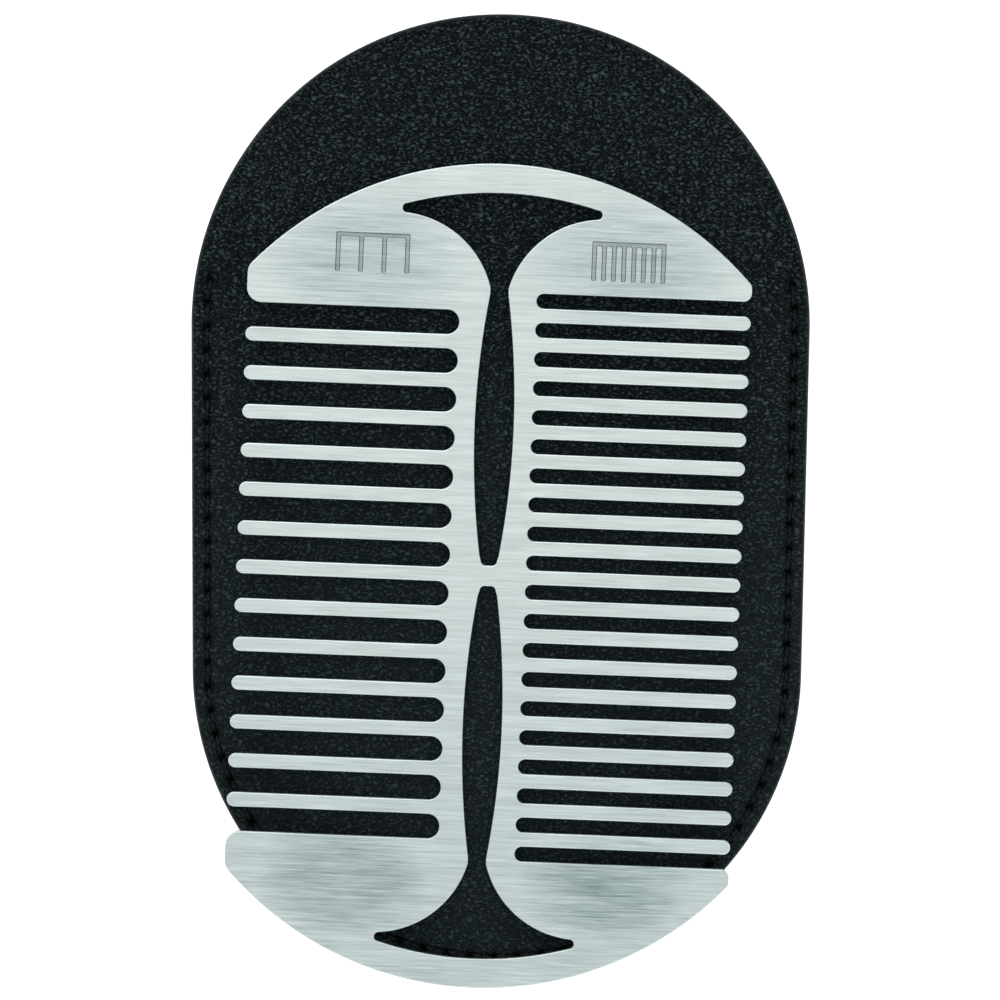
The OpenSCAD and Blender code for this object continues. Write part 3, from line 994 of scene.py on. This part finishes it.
pebble_height = weighted(
    grain_group,
    (remap(grain_group, border.outputs["Distance"], 0.0, valley_width), crown_weight),
    (wrinkles.outputs["Fac"], wrinkle_weight),
    (pores.outputs["Fac"], pore_weight),
)
fill(grain_group, ends_out, {"Height": pebble_height, "Tone": cell.outputs["Color"]})
print(f"{grain_group.name}: a group of {len(grain_group.nodes)} nodes")

# %% [markdown]
# The height from the group serves twice. It bends the normal, and it sets the colour: the crowns
# get a painted highlight and the valleys painted shade, standing in for glints and shade that
# the lamps give too weakly. Where the leather is burnished or its grain fades down the case,
# both are evened out.

# %% The leather
grain_cell, grain_stretch, grain_depth = 0.40, 1.7, 0.30
# Bounds and colours of the painted highlight on the crowns and the painted shade in the valleys, and
# how much highlight is left where the leather is smoothed.
valley_height, crown_height, smoothed_highlight = 0.64, 1.06, 0.22
valley_shade_colour, crown_highlight_colour = (0.0012, 0.0022, 0.0028, 1), (0.047, 0.071, 0.077, 1)
# Painted shade at the needle holes, on the leather and on the thread.
hole_shade_colour = (0.0002, 0.0002, 0.0002, 1)
slick_cell, dry_cell = 0.30, 0.40
leather, tree, shader = new_material("pebbled_leather", Specular_IOR_Level=0.07,
                                     Specular_Tint=(0.80, 0.95, 1.0, 1))
place = add(tree, "TexCoord").outputs["Object"]
place = add(tree, "VectorMath", {0: place, "Scale": 1 / MM}, operation="SCALE").outputs[0]
grain = add(tree, "Group", {"Place": place, "Cell": grain_cell, "Stretch": grain_stretch},
            node_tree=grain_group)
height = grain.outputs["Height"]
smoothed = math_node(tree, "MAXIMUM", stored(tree, "burnished"), stored(tree, "grain_fade"))
relief = math_node(tree, "MULTIPLY", height, math_node(tree, "SUBTRACT", 1.0, smoothed))
# Painted highlight on the crowns, evened out where the leather is smoothed.
crown_highlight = remap(tree, height, valley_height, crown_height)
crown_highlight = add(tree, "Mix", {0: smoothed, 2: crown_highlight, 3: smoothed_highlight}).outputs[0]
colour = blend_colours(tree, crown_highlight, valley_shade_colour, crown_highlight_colour)
# The base colour takes painted shade round the needle holes.
fill(tree, shader, {
    "Base Color": blend_colours(tree, stored(tree, "hole"), colour, hole_shade_colour),
    "Roughness": remap(tree, grain.outputs["Tone"], 0.0, 1.0, slick_cell, dry_cell),
    "Normal": bumped(tree, relief, strength=1.0, depth_mm=grain_depth),
})
put_on(leather, front_leather, back_leather)

# %% [markdown]
# ## Lining and thread
# The lining is a short-napped dark cloth: matt, with a soft sheen at grazing angles and a
# fuzz finer than a millimetre. The thread is waxed polyester. Both are nearly black and show
# little more than their roughness, so one fine noise for each is enough.

# %% The lining
fuzz_scale, fuzz_pair = 3800.0, ((0.012, 0.013, 0.016, 1), (0.035, 0.038, 0.044, 1))
lining, tree, shader = new_material("napped_lining", Roughness=0.95, Specular_IOR_Level=0.2,
                                    Sheen_Weight=0.4, Sheen_Roughness=0.5)
place = add(tree, "TexCoord").outputs["Object"]
fuzz = add(tree, "TexNoise", {"Vector": place, "Scale": fuzz_scale, "Detail": 4.0}).outputs["Fac"]
fill(tree, shader, {
    "Base Color": blend_colours(tree, fuzz, *fuzz_pair),
    "Normal": bumped(tree, fuzz, strength=0.8, depth_mm=0.12),
})
put_on(lining, front_cloth, back_cloth)

# %% The thread
fibre_scale, fibre_pair = 9000.0, ((0.002, 0.0035, 0.0042, 1), (0.0065, 0.0105, 0.012, 1))
waxed, dry_fibre = 0.42, 0.6
thread, tree, shader = new_material("waxed_thread", Specular_IOR_Level=0.15)
place = add(tree, "TexCoord").outputs["Object"]
fibres = add(tree, "TexNoise", {"Vector": place, "Scale": fibre_scale, "Detail": 2.0}).outputs["Fac"]
colour = blend_colours(tree, fibres, *fibre_pair)
# The thread takes the same painted shade where it dips into the needle holes.
fill(tree, shader, {
    "Base Color": blend_colours(tree, stored(tree, "hole"), colour, hole_shade_colour),
    "Roughness": remap(tree, fibres, 0.3, 0.7, waxed, dry_fibre),
    "Normal": bumped(tree, fibres, strength=0.4, depth_mm=0.03),
})
put_on(thread, needle_stitches, bobbin_stitches)

# %% [markdown]
# ## Floor, light and camera
# Small flat goods are shown on a white sweep between soft lights, seen from straight above.
# The floor glows a little, so that no shadow greys it. Metal shows what it faces, so the sky
# has bands: greyer straight above and low down, white between. The flats of the comb face
# the grey and turn a soft silver, and the rounded edges catch the white band and glint.

# %% The floor
floor_half, floor_white, floor_glow = 1500.0, (0.95, 0.95, 0.95, 1), 0.7
corners = floor_half * np.array([[-1, -1, 0], [1, -1, 0], [1, 1, 0], [-1, 1, 0]])
floor = make_piece("floor", corners, [np.array([[0, 1, 2, 3]])])
white, tree, shader = new_material("white_floor", Roughness=0.9, Base_Color=floor_white,
                                   Emission_Color=(1, 1, 1, 1), Emission_Strength=floor_glow)
put_on(white, floor)

# %% The sky's bands
sky_bands = [(0.0, 0.60), (0.42, 0.62), (0.62, 1.0), (0.74, 1.0), (0.97, 0.79)]
cool_share = 1.01
world = bpy.data.worlds.new("studio")
bpy.context.scene.world = world
world.use_nodes = True
tree = world.node_tree
direction = add(tree, "TexCoord").outputs["Generated"]
upward = add(tree, "SeparateXYZ", {0: direction}).outputs[2]
ramp = add(tree, "ValToRGB", {0: upward})
for band_up, _ in sky_bands[1:-1]:
    ramp.color_ramp.elements.new(band_up)
for element, (band_up, brightness) in zip(ramp.color_ramp.elements, sky_bands):
    element.position = band_up
    element.color = (brightness, brightness * cool_share, brightness * cool_share, 1)
fill(tree, tree.nodes["Background"], {"Color": ramp.outputs[0]})
print(len(sky_bands), "grey bands in the sky")

# %% The lights
light_size = 0.5


def soft_light(name, place_m, watts):
    """A square area light at a place in metres, facing the middle of the object."""
    data = bpy.data.lights.new(name, "AREA")
    data.size, data.energy = light_size, watts
    lamp = into_scene(name, data)
    lamp.location = place_m
    lamp.rotation_euler = (-lamp.location).to_track_quat("-Z", "Y").to_euler()
    print(f"{name}: {watts} W from {lamp.location.length:.2f} m away")


soft_light("key_light", (-0.12, 0.46, 0.37), watts=0.95)
soft_light("fill_light", (0.10, -0.50, 0.34), watts=0.4)

# %% [markdown]
# The camera is a long lens high above the middle. From so far away the outer walls of the
# comb and of the case hardly show, and all parts are seen at nearly the same scale.

# %% The camera
lens_mm, sensor_mm, frame_mm = 250.0, 36.0, 103.0
aim_x, aim_y, camera_roll = 0.13, -0.67, 0.62
camera_data = bpy.data.cameras.new("camera")
camera_data.lens, camera_data.sensor_width = lens_mm, sensor_mm
camera_height = comb_top_z + frame_mm * lens_mm / sensor_mm
camera_data.clip_end = 4 * camera_height * MM
camera = into_scene("camera", camera_data)
camera.location = (aim_x * MM, aim_y * MM, camera_height * MM)
camera.rotation_euler = (0, 0, math.radians(camera_roll))
bpy.context.scene.camera = camera
bpy.context.scene.view_settings.view_transform = "Standard"
print(f"the camera is {camera_height:.0f} mm up and sees {frame_mm:.0f} mm")
